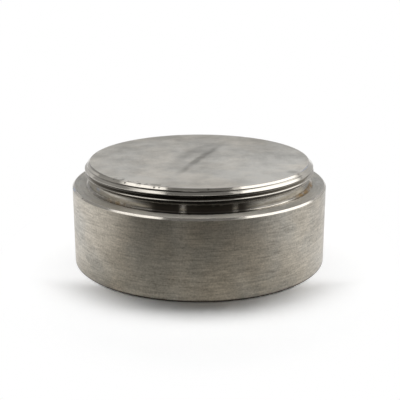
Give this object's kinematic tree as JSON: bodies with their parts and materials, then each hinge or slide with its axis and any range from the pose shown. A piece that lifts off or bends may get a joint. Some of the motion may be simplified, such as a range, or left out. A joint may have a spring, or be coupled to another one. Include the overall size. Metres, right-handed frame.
{
  "type": "evaporation target",
  "caption": "Turned metal disc with a flat face to be evaporated, a seating shoulder and a short externally threaded boss.",
  "frame": {"origin": "centre of the large flat face, on which the target stands", "axes": "+Z along the lathe axis, from the large face towards the threaded boss; -Y faces the viewer of the picture"},
  "size_m": [0.1, 0.1, 0.04],
  "materials": {
    "turned_titanium": "fine turned titanium, satin, with bright chamfers"
  },
  "bodies": {
    "root": {"target": "turned_titanium"}
  },
  "joints": []
}
